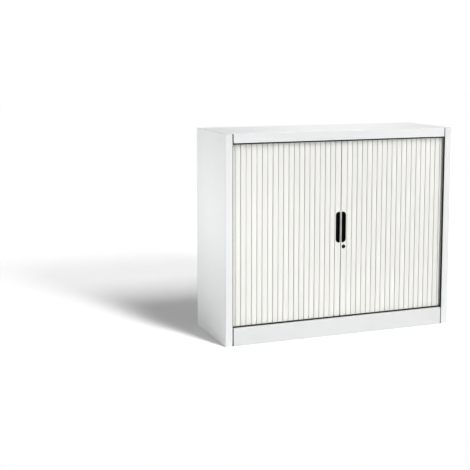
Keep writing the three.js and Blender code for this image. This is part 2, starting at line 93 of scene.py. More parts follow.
class Side(Enum):
    """The two halves of the cabinet, seen from the front."""

    LEFT = -1
    RIGHT = 1

    @property
    def label(self) -> str:
        """The word that stands in the names of this side's nodes."""
        return self.name.lower()


class Axis(Enum):
    """A direction in which a section is run, with the two directions that it is drawn in."""

    X = (1, 2, 0)
    Y = (0, 2, 1)
    Z = (0, 1, 2)

    @property
    def vector(self) -> Vector:
        """The unit vector of this direction."""
        return self.place((0.0, 0.0), 1.0)

    def place(self, point: Point, along: float) -> Vector:
        """Puts a point of a section into the frame.

        Args:
            point: the two coordinates in the section.
            along: the coordinate in the direction itself.

        Returns:
            The point in the frame.
        """
        first, second, third = self.value
        placed = Vector((0.0, 0.0, 0.0))
        placed[first], placed[second], placed[third] = point[0], point[1], along
        return placed


@dataclass(frozen=True)
class Box:
    """The box of a node at rest."""

    low: Vector
    high: Vector

    @classmethod
    def of(cls, node: str) -> "Box":
        """Measures a node of the frame."""
        return cls(*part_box(node))

    @property
    def centre(self) -> Vector:
        """The middle of the box."""
        return (self.low + self.high) / 2

    @property
    def size(self) -> Vector:
        """The three lengths of the box."""
        return self.high - self.low

    def outer(self, side: Side) -> float:
        """X of the face on the outside of one half of the cabinet."""
        return self.low.x if side is Side.LEFT else self.high.x

    def inner(self, side: Side) -> float:
        """X of the face towards the middle of the cabinet."""
        return self.high.x if side is Side.LEFT else self.low.x


class Signal:
    """An output of a node tree that takes part in Python arithmetic."""

    def __init__(self, tree: "NodeTree", socket: bpy.types.NodeSocket) -> None:
        """Wraps one output socket.

        Args:
            tree: the tree that the socket belongs to.
            socket: the output socket.
        """
        self.tree = tree
        self.socket = socket

    def math(self, operation: str, first: "float | Signal", second: "float | Signal") -> "Signal":
        """Adds one Math node.

        Args:
            operation: the node's operation.
            first: its first value.
            second: its second value.

        Returns:
            The node's output.
        """
        return self.tree.add("ShaderNodeMath", {"operation": operation}, {0: first, 1: second})

    def __add__(self, other: "float | Signal") -> "Signal":
        """Sum."""
        return self.math("ADD", self, other)

    def __radd__(self, other: float) -> "Signal":
        """Sum with a number in front."""
        return self.math("ADD", other, self)

    def __sub__(self, other: "float | Signal") -> "Signal":
        """Difference."""
        return self.math("SUBTRACT", self, other)

    def __rsub__(self, other: float) -> "Signal":
        """Difference from a number in front."""
        return self.math("SUBTRACT", other, self)

    def __mul__(self, other: "float | Signal") -> "Signal":
        """Product."""
        return self.math("MULTIPLY", self, other)

    def __rmul__(self, other: float) -> "Signal":
        """Product with a number in front."""
        return self.math("MULTIPLY", other, self)


class NodeTree:
    """A node tree under way, of a material or of the world."""

    def __init__(self, tree: bpy.types.NodeTree) -> None:
        """Empties a tree.

        Args:
            tree: the tree to build in.
        """
        self.nodes = tree.nodes
        self.links = tree.links
        self.nodes.clear()

    def feed(self, socket: bpy.types.NodeSocket, value: object) -> None:
        """Links a signal to a socket, or sets a constant on it.

        Args:
            socket: the input socket.
            value: a signal, a number, a colour or a vector.
        """
        if isinstance(value, Signal):
            self.links.new(value.socket, socket)
        else:
            socket.default_value = value

    def add(
        self,
        kind: str,
        settings: dict[str, object] | None = None,
        sockets: dict[int | str, object] | None = None,
        output: int | str | None = 0,
    ) -> Signal | None:
        """Adds a node.

        Args:
            kind: the node's type.
            settings: its settings, which are set first.
            sockets: the values or signals of its inputs.
            output: the output to return, or none.

        Returns:
            The chosen output.
        """
        node = self.nodes.new(kind)
        for name, value in (settings or {}).items():
            setattr(node, name, value)
        for name, value in (sockets or {}).items():
            self.feed(node.inputs[name], value)
        return None if output is None else Signal(self, node.outputs[output])

    def rise(self, value: Signal, start: float, end: float) -> Signal:
        """Gives a smooth step.

        Args:
            value: what is measured.
            start: where the step is still 0.
            end: where it reaches 1.

        Returns:
            The step.
        """
        sockets = {"Value": value, "From Min": start, "From Max": end}
        return self.add("ShaderNodeMapRange", {"interpolation_type": "SMOOTHSTEP"}, sockets)


class ShaderTree(NodeTree):
    """A material under way, with one principled shader."""

    def __init__(self, name: str) -> None:
        """Starts a material.

        Args:
            name: the material's name.
        """
        self.material = bpy.data.materials.new(name)
        self.material.use_nodes = True
        super().__init__(self.material.node_tree)
        self.shader = self.nodes.new("ShaderNodeBsdfPrincipled")
        output = self.nodes.new("ShaderNodeOutputMaterial")
        self.links.new(self.shader.outputs["BSDF"], output.inputs["Surface"])

    def surface(self, **sockets: object) -> None:
        """Feeds the shader's sockets, with underscores for the spaces in their names."""
        for name, value in sockets.items():
            self.feed(self.shader.inputs[name.replace("_", " ")], value)

    def place(self, stretch: Triple = EVEN) -> Signal:
        """Gives the place on the object.

        Args:
            stretch: factors on the three coordinates.

        Returns:
            The object coordinates in metres, times the factors.
        """
        coordinates = self.add("ShaderNodeTexCoord", output="Object")
        return self.add("ShaderNodeMapping", {}, {"Vector": coordinates, "Scale": stretch})

    def noise(self, per_metre: float, detail: float = 2.0, stretch: Triple = EVEN) -> Signal:
        """Adds a soft noise from 0 to 1.

        Args:
            per_metre: how many features fit in a metre.
            detail: how many finer layers it has.
            stretch: factors that draw the features out.

        Returns:
            The noise.
        """
        sockets = {"Vector": self.place(stretch), "Scale": per_metre, "Detail": detail}
        return self.add("ShaderNodeTexNoise", {}, sockets, "Fac")

    def tint(self, factor: Signal, first: Colour, second: Colour) -> Signal:
        """Mixes two colours.

        Args:
            factor: 0 for the first colour and 1 for the second.
            first: the first colour.
            second: the second colour.

        Returns:
            The mixed colour.
        """
        sockets = {0: factor, MIX_FIRST: (*first, 1.0), MIX_SECOND: (*second, 1.0)}
        return self.add("ShaderNodeMix", {"data_type": "RGBA"}, sockets, MIX_RESULT)

    def relief(self, height: Signal, depth: float) -> None:
        """Bumps the surface.

        Args:
            height: the relief from 0 to 1.
            depth: how far 1 stands above 0, in metres.
        """
        bump = self.add("ShaderNodeBump", {}, {"Height": height, "Distance": depth}, "Normal")
        self.surface(Normal=bump)


@dataclass(frozen=True)
class Finish:
    """What all finishes share.

    A finish has a name, the record's slot, a colour and a mean roughness. Masks from 0 to 1 run its
    colour between two shades and spread its roughness. Its relief has a depth in metres.
    """

    name: str
    slot: str
    colour: Colour
    roughness: float
    shades: Span
    spread: float
    depth: float

    def material(self) -> bpy.types.Material:
        """Makes the material, or finds it where it has been made.

        Returns:
            The material.
        """
        found = bpy.data.materials.get(self.name)
        if found is None:
            tree = ShaderTree(self.name)
            self.dress(tree)
            found = tree.material
        return found

    def shade(self, factor: float) -> Colour:
        """The finish's colour, darkened or lightened by a factor."""
        red, green, blue = self.colour
        return (red * factor, green * factor, blue * factor)

    def mottled(self, tree: ShaderTree, mask: Signal) -> Signal:
        """Runs the colour from the darker to the lighter shade."""
        return tree.tint(mask, *(self.shade(factor) for factor in self.shades))

    def uneven(self, mask: Signal) -> Signal:
        """Spreads the roughness round its mean."""
        return self.roughness + (mask - 0.5) * self.spread

    def dress(self, tree: ShaderTree) -> None:
        """Builds the shader. Each kind of finish has its own."""
        raise NotImplementedError


@dataclass(frozen=True)
class PowderCoat(Finish):
    """Satin powder coat: clouds of slightly uneven thickness and a fine orange peel."""

    shades: Span = (0.985, 1.01)
    spread: float = 0.08
    depth: float = 0.02 * MM
    ior: float = 1.5
    clouds_per_metre: float = 3.0
    films_per_metre: float = 40.0
    peels_per_metre: float = 550.0
    peel_detail: float = 1.0

    def dress(self, tree: ShaderTree) -> None:
        """Builds the coat.

        Args:
            tree: the material under way.
        """
        tree.surface(
            Base_Color=self.mottled(tree, tree.noise(self.clouds_per_metre)),
            Roughness=self.uneven(tree.noise(self.films_per_metre)),
            IOR=self.ior,
        )
        tree.relief(tree.noise(self.peels_per_metre, self.peel_detail), self.depth)


@dataclass(frozen=True)
class ExtrudedPlastic(Finish):
    """Extruded plastic: faint streaks along the length and small differences from slat to slat."""

    shades: Span = (0.98, 1.01)
    spread: float = 0.12
    depth: float = 0.012 * MM
    ior: float = 1.49
    streaks_per_metre: float = 900.0
    streak_stretch: Triple = (1.0, 1.0, 0.004)
    batches_per_metre: float = 25.0
    batch_stretch: Triple = (1.0, 0.0, 0.0)
    batch_detail: float = 0.0
    batch_share: float = 0.7

    def dress(self, tree: ShaderTree) -> None:
        """Builds the plastic.

        Args:
            tree: the material under way.
        """
        batches = tree.noise(self.batches_per_metre, self.batch_detail, self.batch_stretch)
        streaks = tree.noise(self.streaks_per_metre, stretch=self.streak_stretch)
        both = batches * self.batch_share + streaks * (1.0 - self.batch_share)
        tree.surface(
            Base_Color=self.mottled(tree, both), Roughness=self.uneven(streaks), IOR=self.ior
        )
        tree.relief(streaks, self.depth)


@dataclass(frozen=True)
class MouldedPlastic(Finish):
    """Moulded plastic with a fine spark eroded grain and a sheen where it is touched."""

    shades: Span = (0.8, 1.3)
    spread: float = 0.15
    depth: float = 0.05 * MM
    ior: float = 1.46
    grains_per_metre: float = 1400.0
    touches_per_metre: float = 60.0

    def dress(self, tree: ShaderTree) -> None:
        """Builds the plastic.

        Args:
            tree: the material under way.
        """
        grain = tree.noise(self.grains_per_metre)
        tree.surface(
            Base_Color=self.mottled(tree, grain),
            Roughness=self.uneven(tree.noise(self.touches_per_metre)),
            IOR=self.ior,
        )
        tree.relief(grain, self.depth)


@dataclass(frozen=True)
class ZincPlate(Finish):
    """Bright zinc plate: a brushed metal with cells of slightly different sheen."""

    shades: Span = (0.88, 1.08)
    spread: float = 0.12
    depth: float = 0.01 * MM
    cells_per_metre: float = 160.0
    cell_spread: float = 0.08
    strokes_per_metre: float = 700.0
    stroke_stretch: Triple = (0.05, 1.0, 1.0)

    def dress(self, tree: ShaderTree) -> None:
        """Builds the plating.

        Args:
            tree: the material under way.
        """
        sockets = {"Vector": tree.place(), "Scale": self.cells_per_metre}
        cells = tree.add("ShaderNodeTexVoronoi", {}, sockets, "Color")
        spangle = tree.add("ShaderNodeSeparateColor", {}, {"Color": cells}, "Red")
        strokes = tree.noise(self.strokes_per_metre, stretch=self.stroke_stretch)
        tree.surface(
            Base_Color=self.mottled(tree, spangle),
            Metallic=1.0,
            Roughness=self.uneven(strokes) + spangle * self.cell_spread,
        )
        tree.relief(strokes, self.depth)


@dataclass(frozen=True)
class BlackLacquer(Finish):
    """Black lacquer on a zinc die casting."""

    shades: Span = (0.8, 1.25)
    spread: float = 0.1
    depth: float = 0.02 * MM
    ior: float = 1.5
    waves_per_metre: float = 420.0
    wave_detail: float = 1.0

    def dress(self, tree: ShaderTree) -> None:
        """Builds the lacquer.

        Args:
            tree: the material under way.
        """
        waves = tree.noise(self.waves_per_metre, self.wave_detail)
        tree.surface(
            Base_Color=self.mottled(tree, waves), Roughness=self.uneven(waves), IOR=self.ior
        )
        tree.relief(waves, self.depth)


# The plinth's coat is the body's white coat darkened by this factor. This is painted shade for the
# weaker light that reaches the low plinth, not a greyer paint.
PLINTH_PAINTED_SHADE = 0.92

STEEL = PowderCoat("white_powder_coat", "white_steel", (0.744, 0.748, 0.75), 0.3)
SHADED_PLINTH_COAT = PowderCoat("greyish_powder_coat", "white_steel", STEEL.shade(PLINTH_PAINTED_SHADE), 0.3)
SLAT = ExtrudedPlastic("white_slat_plastic", "white_slat", (0.778, 0.776, 0.753), 0.4)
BLACK = MouldedPlastic("black_plastic_grain", "black_plastic", (0.009, 0.01, 0.0095), 0.5)
ZINC = ZincPlate("zinc_plate", "galvanised_steel", (0.62, 0.64, 0.66), 0.34)
LACQUER = BlackLacquer("black_lacquer", "black_metal", (0.012, 0.012, 0.013), 0.32)


def add_object(name: str, data: bpy.types.ID) -> bpy.types.Object:
    """Puts a new object into the scene.

    Args:
        name: the object's name.
        data: its mesh, light or camera.

    Returns:
        The object.
    """
    item = bpy.data.objects.new(name, data)
    bpy.context.scene.collection.objects.link(item)
    return item


class Workpiece:
    """A piece in the making: a bmesh in the frame's metres."""

    def __init__(self, name: str) -> None:
        """Starts an empty piece.

        Args:
            name: the finished object's name.
        """
        self.name = name
        self.bm = bmesh.new()

    @classmethod
    def copy_of(cls, node: str, name: str) -> "Workpiece":
        """Copies a node of the frame as a clean mesh of large faces.

        Args:
            node: the node's name.
            name: the new piece's name.

        Returns:
            The copy.
        """
        piece = cls(name)
        piece.bm.from_mesh(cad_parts[node].data)
        bmesh.ops.remove_doubles(piece.bm, verts=piece.bm.verts[:], dist=WELD)
        bmesh.ops.dissolve_limit(
            piece.bm,
            angle_limit=FLAT_ANGLE,
            use_dissolve_boundaries=False,
            verts=piece.bm.verts[:],
            edges=piece.bm.edges[:],
            delimit=set(),
        )
        return piece

    def block(self, low: Vector, high: Vector) -> None:
        """Adds a box between two corners.

        Args:
            low: one corner.
            high: the opposite corner.
        """
        size = Vector(abs(value) for value in high - low)
        place = Matrix.LocRotScale((low + high) / 2, None, size)
        bmesh.ops.create_cube(self.bm, size=1.0, matrix=place)

    def shift(self, swept: Sequence[BMVert | BMEdge | BMFace], travel: Vector) -> list[BMVert]:
        """Moves the vertices of what a sweep has made.

        Args:
            swept: the sweep's vertices, edges and faces.
            travel: how far and where they go.

        Returns:
            The moved vertices.
        """
        moved = [item for item in swept if isinstance(item, BMVert)]
        bmesh.ops.translate(self.bm, verts=moved, vec=travel)
        return moved

    def prism(self, outline: Sequence[Vector], travel: Vector) -> list[BMEdge]:
        """Runs a closed outline along a travel.

        Args:
            outline: the corners of the outline.
            travel: how far and where it is run.

        Returns:
            The edges that the corners leave behind, in the order of the outline.
        """
        corners = [self.bm.verts.new(point) for point in outline]
        face = self.bm.faces.new(corners)
        swept = bmesh.ops.extrude_face_region(self.bm, geom=[face], use_keep_orig=True)["geom"]
        far = set(self.shift(swept, travel))
        return [
            next(edge for edge in corner.link_edges if edge.other_vert(corner) in far)
            for corner in corners
        ]

    def ribbon(self, line: Sequence[Vector], travel: Vector) -> list[BMEdge]:
        """Runs an open line along a travel.

        Args:
            line: the points of the line.
            travel: how far and where it is run.

        Returns:
            The fold edges that the inner points leave behind.
        """
        points = [self.bm.verts.new(point) for point in line]
        edges = [self.bm.edges.new(pair) for pair in zip(points, points[1:])]
        self.shift(bmesh.ops.extrude_edge_only(self.bm, edges=edges)["geom"], travel)
        return [edge for point in points for edge in point.link_edges if len(edge.link_faces) == 2]

    def draw_out(self, edge: BMEdge, travel: Vector) -> BMEdge:
        """Draws a face out of an edge.

        Args:
            edge: the edge.
            travel: how far and where the new face reaches.

        Returns:
            The new face's far edge.
        """
        swept = bmesh.ops.extrude_edge_only(self.bm, edges=[edge])["geom"]
        far = set(self.shift(swept, travel))
        return next(item for item in swept if isinstance(item, BMEdge) and set(item.verts) == far)

    def lathe(self, profile: Sequence[Point], centre: Vector, axis: Axis, steps: int = 48) -> None:
        """Turns a closed profile once round an axis.

        Args:
            profile: pairs of radius and distance along the axis.
            centre: a point on the axis, where the distance is zero.
            axis: the axis' direction.
            steps: how many steps the turn has.
        """
        points = [centre + axis.place((radius, 0.0), along) for radius, along in profile]
        corners = [self.bm.verts.new(point) for point in points]
        ring = [self.bm.edges.new(pair) for pair in zip(corners, corners[1:])]
        if profile[0][0] > 0:
            ring.append(self.bm.edges.new((corners[-1], corners[0])))
        bmesh.ops.spin(
            self.bm,
            geom=[*corners, *ring],
            cent=centre,
            axis=axis.vector,
            dvec=(0.0, 0.0, 0.0),
            angle=math.tau,
            steps=steps,
            use_merge=True,
            use_duplicate=False,
        )

    def bevel(self, edges: Sequence[BMEdge], width: float, steps: int) -> None:
        """Rounds edges.

        Args:
            edges: the edges to round.
            width: how far the round reaches from the edge.
            steps: how many steps it has.
        """
        bmesh.ops.bevel(
            self.bm,
            geom=list(dict.fromkeys(edges)),
            offset=width,
            offset_type="OFFSET",
            segments=steps,
            profile=0.5,
            affect="EDGES",
            material=-1,
            clamp_overlap=False,
        )

    def edges_along(self, axis: Axis) -> list[BMEdge]:
        """Finds the edges that run in a direction.

        Args:
            axis: the direction.

        Returns:
            The edges.
        """
        runs = {edge: edge.verts[1].co - edge.verts[0].co for edge in self.bm.edges}
        way = axis.vector
        return [edge for edge, run in runs.items() if abs(run.normalized().dot(way)) > PARALLEL]

    def face_at(self, direction: Vector) -> BMFace:
        """Finds the face that lies furthest in a direction and looks that way.

        Args:
            direction: the direction.

        Returns:
            The face.
        """
        self.bm.normal_update()
        facing = [face for face in self.bm.faces if face.normal.dot(direction) > PARALLEL]
        return max(facing, key=lambda face: face.calc_center_median().dot(direction))

    def sink(self, face: BMFace, border: float, travel: Vector) -> None:
        """Insets a face and pushes what is left in or out.

        Args:
            face: the face.
            border: how wide the border is that stays.
            travel: where the middle goes.
        """
        bmesh.ops.inset_region(
            self.bm,
            faces=[face],
            thickness=border,
            depth=0.0,
            use_even_offset=True,
            use_boundary=True,
        )
        swept = bmesh.ops.extrude_face_region(self.bm, geom=[face])["geom"]
        bmesh.ops.delete(self.bm, geom=[face], context="FACES_ONLY")
        self.shift(swept, travel)

    def slice_at(self, point: Vector, normal: Vector) -> None:
        """Draws new edges where a plane cuts the piece.

        Args:
            point: a point of the plane.
            normal: the plane's normal.
        """
        geometry = [*self.bm.verts, *self.bm.edges, *self.bm.faces]
        bmesh.ops.bisect_plane(self.bm, geom=geometry, dist=WELD, plane_co=point, plane_no=normal)

    def closed(self) -> None:
        """Merges doubles and turns the faces outwards."""
        bmesh.ops.remove_doubles(self.bm, verts=self.bm.verts[:], dist=WELD)
        bmesh.ops.recalc_face_normals(self.bm, faces=self.bm.faces[:])

    def loose(self) -> bpy.types.Object:
        """Hands the bmesh over to a new object in the scene.

        Returns:
            The object.
        """
        self.closed()
        mesh = bpy.data.meshes.new(self.name)
        self.bm.to_mesh(mesh)
        self.bm.free()
        return add_object(self.name, mesh)

    def carve(self, tool: "Workpiece") -> None:
        """Cuts another workpiece's shape out of this one and uses it up.

        Args:
            tool: the shape to take away.
        """
        blank, cutter = self.loose(), tool.loose()
        cut = blank.modifiers.new("cut", "BOOLEAN")
        cut.object = cutter
        cut.solver = "EXACT"
        graph = bpy.context.evaluated_depsgraph_get()
        result = bpy.data.meshes.new_from_object(blank.evaluated_get(graph))
        self.bm = bmesh.new()
        self.bm.from_mesh(result)
        for item in (blank, cutter):
            mesh = item.data
            bpy.data.objects.remove(item)
            bpy.data.meshes.remove(mesh)
        bpy.data.meshes.remove(result)

    def done(
        self,
        finish: Finish,
        body: str,
        stands_for: Sequence[str] = (),
        wall: float = 0.0,
        edge: float = 0.3 * MM,
    ) -> None:
        """Finishes the piece and puts it on its body.

        Args:
            finish: its finish.
            body: the body that it moves with.
            stands_for: the nodes that it replaces.
            wall: the thickness that an open sheet gets, half to each side.
            edge: the width of the small round on its sharp edges.
        """
        piece = self.loose()
        mesh = piece.data
        mesh.polygons.foreach_set("use_smooth", [True] * len(mesh.polygons))
        mesh.materials.append(finish.material())
        if wall:
            solid = piece.modifiers.new("wall", "SOLIDIFY")
            solid.thickness, solid.offset = wall, 0.0
        if edge:
            soft = piece.modifiers.new("edges", "BEVEL")
            soft.width, soft.segments, soft.limit_method = edge, SMOOTH_STEPS, "ANGLE"
            soft.angle_limit, soft.harden_normals = SMOOTH_ANGLE, False
        piece.modifiers.new("normals", "WEIGHTED_NORMAL").keep_sharp = True
        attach(piece, body)
        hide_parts(*stands_for)
        LOG.info("%s: %d faces on body %s", piece.name, len(mesh.polygons), body)


@dataclass
class Sheet:
    """Folded steel sheet: its thickness and its bends."""

    thickness: float = 1.0 * MM
    radius: float = 2.0 * MM
    steps: int = 6
    edge: float = 0.2 * MM

    def folded(
        self, name: str, line: Sequence[Point], axis: Axis, low: float, high: float
    ) -> Workpiece:
        """Folds a sheet along an axis.

        Args:
            name: the piece's name.
            line: the line through the middle of the sheet, with sharp corners.
            axis: the axis that the folds are parallel to.
            low: where the sheet starts on that axis.
            high: where it ends.

        Returns:
            The sheet as an open surface through its middle.
        """
        piece = Workpiece(name)
        start = [axis.place(point, low) for point in line]
        folds = piece.ribbon(start, axis.vector * (high - low))
        piece.bevel(folds, self.radius, self.steps)
        return piece


@dataclass
class Carcass:
    """The steel carcass: walls, top, floor, plinth and back."""

    sheet: Sheet = field(default_factory=Sheet)
    fold_lip: float = 8.0 * MM
    rear_flange: float = 20.0 * MM
    front_fold: float = 14.0 * MM
    notch: float = 0.5 * MM
    settle: float = 0.03 * MM
    joint_play: float = 1.1 * MM
    panel_edge: float = 0.25 * MM
    plain_panels: tuple[str, ...] = (
        "back_panel",
        "ceiling_panel",
        "floor_panel",
        "left_inner_wall",
        "right_inner_wall",
    )

    @property
    def reach(self) -> float:
        """Half the width of fascia and plinth, with a clear joint beside each post."""
        return Box.of("plinth_front").high.x - self.joint_play

    def build(self) -> None:
        """Builds every piece of the carcass."""
        for side in Side:
            self.build_side_wall(side)
            self.build_end_plates(side)
        self.build_top()
        self.build_plinth()
        for node in self.plain_panels:
            panel = Workpiece.copy_of(node, f"{node}_sheet")
            panel.done(STEEL, "carcass", [node], edge=self.panel_edge)

    def build_side_wall(self, side: Side) -> None:
        """Folds a side wall with its post and its rear flange.

        Args:
            side: the side that it stands on.
        """
        node = f"{side.label}_side_wall"
        box = Box.of(node)
        half = self.sheet.thickness / 2
        outer = box.outer(side) - side.value * half
        inner = box.inner(side) + side.value * half
        front, back = box.low.y + half, box.high.y - half
        line = [
            (inner, box.low.y + self.front_fold),
            (inner, front),
            (outer, front),
            (outer, back),
            (box.outer(side) - side.value * self.rear_flange, back),
        ]
        wall = self.sheet.folded(f"{side.label}_side_sheet", line, Axis.Z, box.low.z, box.high.z)
        wall.done(STEEL, "carcass", [node], self.sheet.thickness, self.sheet.edge)

    def build_end_plates(self, side: Side) -> None:
        """Makes the plates that close a side wall at its top and bottom.

        Args:
            side: the side that they belong to.
        """
        box = Box.of(f"{side.label}_side_wall")
        thickness = self.sheet.thickness
        outer = box.outer(side) - side.value * thickness
        inner = box.inner(side) + side.value * thickness
        plates = Workpiece(f"{side.label}_side_end_plates")
        for low in (box.low.z, box.high.z - thickness):
            plates.block(
                Vector((inner, box.low.y + thickness, low)),
                Vector((outer, box.high.y - thickness, low + thickness)),
            )
        plates.done(STEEL, "carcass", edge=self.sheet.edge)

    def build_top(self) -> None:
        """Folds the top panel: fascia in front, drop at the back, strips over the posts."""
        box = Box.of("top_panel")
        half = self.sheet.thickness / 2
        lip = box.low.y + self.front_fold - half
        front, back = box.low.y + half, box.high.y - half
        low, high = box.low.z + half, box.high.z - half - self.settle
        line = [
            (lip, box.low.z + self.fold_lip),
            (lip, low),
            (front, low),
            (front, high),
            (back, high),
            (back, box.high.z - self.rear_flange),
        ]
        top = self.sheet.folded("top_sheet", line, Axis.X, -self.reach, self.reach)
        for side in Side:
            self.add_end_strip(top, side, box)
        top.done(STEEL, "carcass", ["top_panel"], self.sheet.thickness, self.sheet.edge)

    def add_end_strip(self, top: Workpiece, side: Side, box: Box) -> None:
        """Draws the flat top out over a post, with a relief notch beside the folds.

        Args:
            top: the folded top panel.
            side: the side to draw out.
            box: the top panel's box.
        """
        end = side.value * self.reach
        rim = next(
            edge
            for edge in top.bm.edges
            if all(abs(vert.co.x - end) < WELD for vert in edge.verts)
            and edge.calc_length() > box.size.y / 2
        )
        outwards = side.value * Axis.X.vector
        for travel in (self.notch, abs(box.outer(side)) - self.reach - self.notch):
            rim = top.draw_out(rim, outwards * travel)
        for seam in [edge for vert in rim.verts for edge in vert.link_edges if edge is not rim]:
            level = seam.verts[0].co.y
            top.draw_out(seam, Vector((0.0, math.copysign(box.high.y, level) - level, 0.0)))

    def build_plinth(self) -> None:
        """Folds the plinth front."""
        box = Box.of("plinth_front")
        half = self.sheet.thickness / 2
        lip = box.high.y - half
        front = box.low.y + half
        low, high = box.low.z + half, box.high.z - half
        line = [
            (lip, box.high.z - self.fold_lip),
            (lip, high),
            (front, high),
            (front, low),
            (lip, low),
            (lip, box.low.z + self.fold_lip),
        ]
        plinth = self.sheet.folded("plinth_sheet", line, Axis.X, -self.reach, self.reach)
        # The plinth gets the body's coat darkened as painted shade.
        plinth.done(SHADED_PLINTH_COAT, "carcass", ["plinth_front"], self.sheet.thickness, self.sheet.edge)


@dataclass
class Shelving:
    """Shelves and the rails that carry them."""

    sheet: Sheet = field(default_factory=Sheet)
    flange_return: float = 15.0 * MM
    rail_edge: float = 0.3 * MM

    def build(self) -> None:
        """Builds both shelves and their four rails."""
        for level in ("lower", "upper"):
            self.build_shelf(level)
            for side in Side:
                node = f"{level}_shelf_rail_{side.label}"
                rail = Workpiece.copy_of(node, f"{node}_plated")
                rail.done(ZINC, "carcass", [node], edge=self.rail_edge)

    def build_shelf(self, level: str) -> None:
        """Folds a shelf.

        Args:
            level: lower or upper.
        """
        box = Box.of(f"{level}_shelf")
        half = self.sheet.thickness / 2
        front, back = box.low.y + half, box.high.y - half
        low, high = box.low.z + half, box.high.z - half
        line = [
            (front + self.flange_return, low),
            (front, low),
            (front, high),
            (back, high),
            (back, box.low.z),
        ]
        shelf = self.sheet.folded(f"{level}_shelf_sheet", line, Axis.X, box.low.x, box.high.x)
        shelf.done(STEEL, "carcass", [f"{level}_shelf"], self.sheet.thickness, self.sheet.edge)


@dataclass
class Tracks:
    """The black tracks that the curtains run in, and the black strips on the posts."""

    edge: float = 0.4 * MM
    lip: float = 5.3 * MM
    lip_wall: float = 1.7 * MM
    lip_end: float = 6.0 * MM
    ramp: float = 4.0 * MM
    strip_depth: float = 9.0 * MM
    strip_play: float = 0.5 * MM

    def build(self) -> None:
        """Builds tracks and strips."""
        for side in Side:
            for level in ("lower", "upper"):
                self.build_track(side, level)
            self.build_strip(side)

    def build_track(self, side: Side, level: str) -> None:
        """Makes a track with a low lip along the opening.

        Args:
            side: the curtain's side.
            level: lower or upper.
        """
        node = f"{level}_{side.label}_track"
        box = Box.of(node)
        track = Workpiece.copy_of(node, f"{node}_moulding")
        post = abs(Box.of(f"{side.label}_side_wall").inner(side)) + self.lip_end
        for reach in (post, post + self.ramp):
            track.slice_at(Vector((side.value * reach, 0.0, 0.0)), Axis.X.vector)
        free, drop = (box.high.z, -1) if level == "lower" else (box.low.z, 1)
        for vert in track.bm.verts:
            at_opening = abs(vert.co.x) < post + WELD and vert.co.y < box.low.y + self.lip_wall
            if at_opening and abs(vert.co.z - free) < WELD:
                vert.co.z += drop * (box.size.z - self.lip)
        track.done(BLACK, "carcass", [node], edge=self.edge)

    def build_strip(self, side: Side) -> None:
        """Makes the black strip that lines a post beside fascia, curtain and plinth.

        Args:
            side: the post's side.
        """
        node = f"{side.label}_post_strip"
        box = Box.of(node)
        wall = Box.of(f"{side.label}_side_wall")
        strip = Workpiece(f"{node}_moulding")
        strip.block(
            Vector((box.low.x, box.low.y, wall.low.z + self.strip_play)),
            Vector((box.high.x, box.low.y + self.strip_depth, wall.high.z - self.strip_play)),
        )
        strip.done(BLACK, "carcass", [node], edge=self.edge)


@dataclass
class Curtain:
    """The slats of one door. Each piece is two slats joined by a thin web."""

    side: Side
    pairs: int = 10
    slats_per_pair: int = 2
    crown: float = 0.7 * MM
    crown_width: float = 8.0 * MM
    crown_steps: int = 8
    shoulder: float = 2.0 * MM
    shoulder_steps: int = 5
    slit: float = 2.2 * MM
    web: float = 1.5 * MM
    back_groove: float = 0.7 * MM

    def body(self, number: int) -> str:
        """Names the body that a pair rides on: the door itself for the pair beside the stile."""
        return f"{self.side.label}_door" if number == 1 else f"{self.side.label}_panel_{number:02d}"

    def build(self) -> None:
        """Builds the pairs of slats."""
        for number in range(1, self.pairs + 1):
            self.build_pair(number)

    def build_pair(self, number: int) -> None:
        """Builds one pair of slats.

        Args:
            number: the pair's number, counted from the stile.
        """
        node = f"{self.side.label}_slat_pair_{number:02d}"
        box = Box.of(node)
        width = box.size.x / self.slats_per_pair
        half = (width - self.slit) / 2
        deep = box.size.y
        slit_floor, groove_floor = deep - self.web, deep - self.back_groove
        piece = Workpiece(f"{self.side.label}_slats_{number:02d}")
        front: list[Point] = []
        back: list[Point] = []
        for slat in range(self.slats_per_pair):
            middle = (slat - (self.slats_per_pair - 1) / 2) * width
            front += [
                (middle - half, slit_floor),
                (middle - half, self.crown),
                (middle, 0.0),
                (middle + half, self.crown),
                (middle + half, slit_floor),
            ]
            back += [(middle - half, deep), (middle + half, deep)]
        seam = box.size.x / 2
        outline = [(-seam, slit_floor), *front, (seam, slit_floor)]
        outline += [(seam, groove_floor), *reversed(back), (-seam, groove_floor)]
        origin = Vector((box.centre.x, box.low.y, box.low.z))
        section = [origin + Axis.Z.place(point, 0.0) for point in outline]
        long_edges = piece.prism(section, Axis.Z.vector * box.size.z)
        crowns = [edge for edge, point in zip(long_edges, outline) if point[1] == 0.0]
        shoulders = [edge for edge, point in zip(long_edges, outline) if point[1] == self.crown]
        piece.bevel(crowns, self.crown_width, self.crown_steps)
        piece.bevel(shoulders, self.shoulder, self.shoulder_steps)
        piece.done(SLAT, self.body(number), [node])


